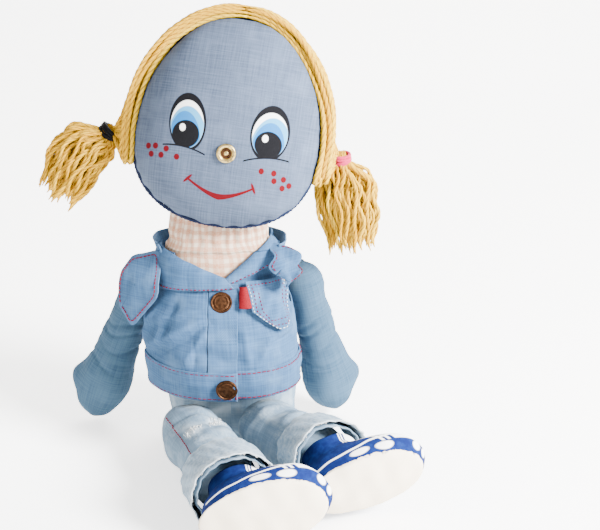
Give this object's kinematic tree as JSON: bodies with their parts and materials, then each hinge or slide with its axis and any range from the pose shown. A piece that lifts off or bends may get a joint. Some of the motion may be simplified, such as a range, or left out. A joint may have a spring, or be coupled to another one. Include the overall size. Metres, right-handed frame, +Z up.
{
  "type": "rag doll",
  "caption": "Seated stuffed rag doll with yarn pigtails, a denim jacket with button front, rolled jeans and printed shoes.",
  "frame": {"origin": "middle of the flat underside of the jeans seat", "axes": "-Z down through the seat onto the surface it sits on; the doll faces -Y; +X is the doll's own left; +Z up"},
  "size_m": [0.2786, 0.243, 0.3384],
  "materials": {
    "brass": "satin brass",
    "chambray": "blue-grey woven cotton with slubs, matt",
    "copper": "brown antique copper",
    "elastic_black": "thread-covered elastic",
    "elastic_pink": "thread-covered elastic",
    "gingham": "peach and ivory small check cotton, matt",
    "jacket_denim": "light blue soft denim with red topstitching",
    "jeans_denim": "pale washed denim with frayed spots",
    "piping": "dark thin seam cord",
    "shoe_blue": "royal blue and white printed cloth",
    "shoe_white": "off-white printed cloth",
    "stuffing": "white fibre stuffing, not seen",
    "tab_red": "plain red woven tape",
    "thread": "matching sewing thread",
    "yarn": "golden twisted wool yarn"
  },
  "bodies": {
    "torso": {"torso_stuffing": "stuffing", "shirt_front_panel": "gingham", "shirt_back_panel": "gingham", "jeans_seat": "jeans_denim", "jacket_back": "jacket_denim", "jacket_front_left": "jacket_denim", "jacket_front_right": "jacket_denim", "jacket_placket": "jacket_denim", "waistband_back": "jacket_denim", "waistband_left": "jacket_denim", "waistband_right": "jacket_denim", "button_top_cap": "copper", "button_top_tack": "copper", "button_bottom_cap": "copper", "button_bottom_tack": "copper", "lapel_right": "jacket_denim", "lapel_left": "jacket_denim", "collar_stand": "jacket_denim", "collar_wing_right": "jacket_denim", "collar_wing_left": "jacket_denim", "pocket": "jacket_denim", "pocket_tab": "tab_red"},
    "neck": {"neck_band": "gingham", "neck_stuffing": "stuffing"},
    "head": {"head_stuffing": "stuffing", "face_panel": "chambray", "head_back_panel": "chambray", "head_piping": "piping", "nose_rivet_cap": "brass", "nose_rivet_washer": "brass", "hair_right": "yarn", "hair_left": "yarn", "parting_stitch": "thread"},
    "pigtail_right": {"elastic_black": "elastic_black", "pigtail_right": "yarn"},
    "pigtail_left": {"elastic_pink": "elastic_pink", "pigtail_left": "yarn"},
    "arm_right": {"arm_right_front_panel": "chambray", "arm_right_back_panel": "chambray", "arm_right_stuffing": "stuffing"},
    "leg_right": {"leg_right_front_panel": "jeans_denim", "leg_right_back_panel": "jeans_denim", "leg_right_stuffing": "stuffing", "cuff_right": "jeans_denim"},
    "foot_right": {"shoe_right_upper": "shoe_blue", "shoe_right_sole": "shoe_white", "foot_right_stuffing": "stuffing"},
    "arm_left": {"arm_left_front_panel": "chambray", "arm_left_back_panel": "chambray", "arm_left_stuffing": "stuffing"},
    "leg_left": {"leg_left_front_panel": "jeans_denim", "leg_left_back_panel": "jeans_denim", "leg_left_stuffing": "stuffing", "cuff_left": "jeans_denim"},
    "foot_left": {"shoe_left_upper": "shoe_blue", "shoe_left_sole": "shoe_white", "foot_left_stuffing": "stuffing"}
  },
  "joints": [
    {"name": "neck_turn", "type": "hinge", "parent": "torso", "child": "neck", "pos_m": [-0.009, 0.002, 0.158], "axis": [0, 0, 1], "range_deg": [-35, 35]},
    {"name": "head_nod", "type": "hinge", "parent": "neck", "child": "head", "pos_m": [-0.009, 0, 0.17], "axis": [1, 0, 0], "range_deg": [-20, 15]},
    {"name": "shoulder_right", "type": "hinge", "parent": "torso", "child": "arm_right", "pos_m": [-0.069, 0.01, 0.126], "axis": [0, 1, 0], "range_deg": [0, 95]},
    {"name": "shoulder_left", "type": "hinge", "parent": "torso", "child": "arm_left", "pos_m": [0.056, 0.018, 0.124], "axis": [0, -1, 0], "range_deg": [0, 95]},
    {"name": "hip_right", "type": "hinge", "parent": "torso", "child": "leg_right", "pos_m": [-0.029, -0.061, 0.025], "axis": [-1, 0, 0], "range_deg": [-80, 12]},
    {"name": "hip_left", "type": "hinge", "parent": "torso", "child": "leg_left", "pos_m": [0.029, -0.053, 0.025], "axis": [-1, 0, 0], "range_deg": [-80, 12]},
    {"name": "ankle_right", "type": "hinge", "parent": "leg_right", "child": "foot_right", "pos_m": [0.009, -0.166, 0.03], "axis": [-0.0618, -0.1517, 0.9865], "range_deg": [-12, 1]},
    {"name": "ankle_left", "type": "hinge", "parent": "leg_left", "child": "foot_left", "pos_m": [0.076, -0.134, 0.038], "axis": [-0.0711, -0.3431, 0.9366], "range_deg": [-4, 12]},
    {"name": "pigtail_right_swing", "type": "hinge", "parent": "head", "child": "pigtail_right", "pos_m": [-0.09, 0.004, 0.247], "axis": [0, 1, 0], "range_deg": [-25, 60]},
    {"name": "pigtail_left_swing", "type": "hinge", "parent": "head", "child": "pigtail_left", "pos_m": [0.085, 0.004, 0.226], "axis": [0, -1, 0], "range_deg": [-4, 90]}
  ]
}
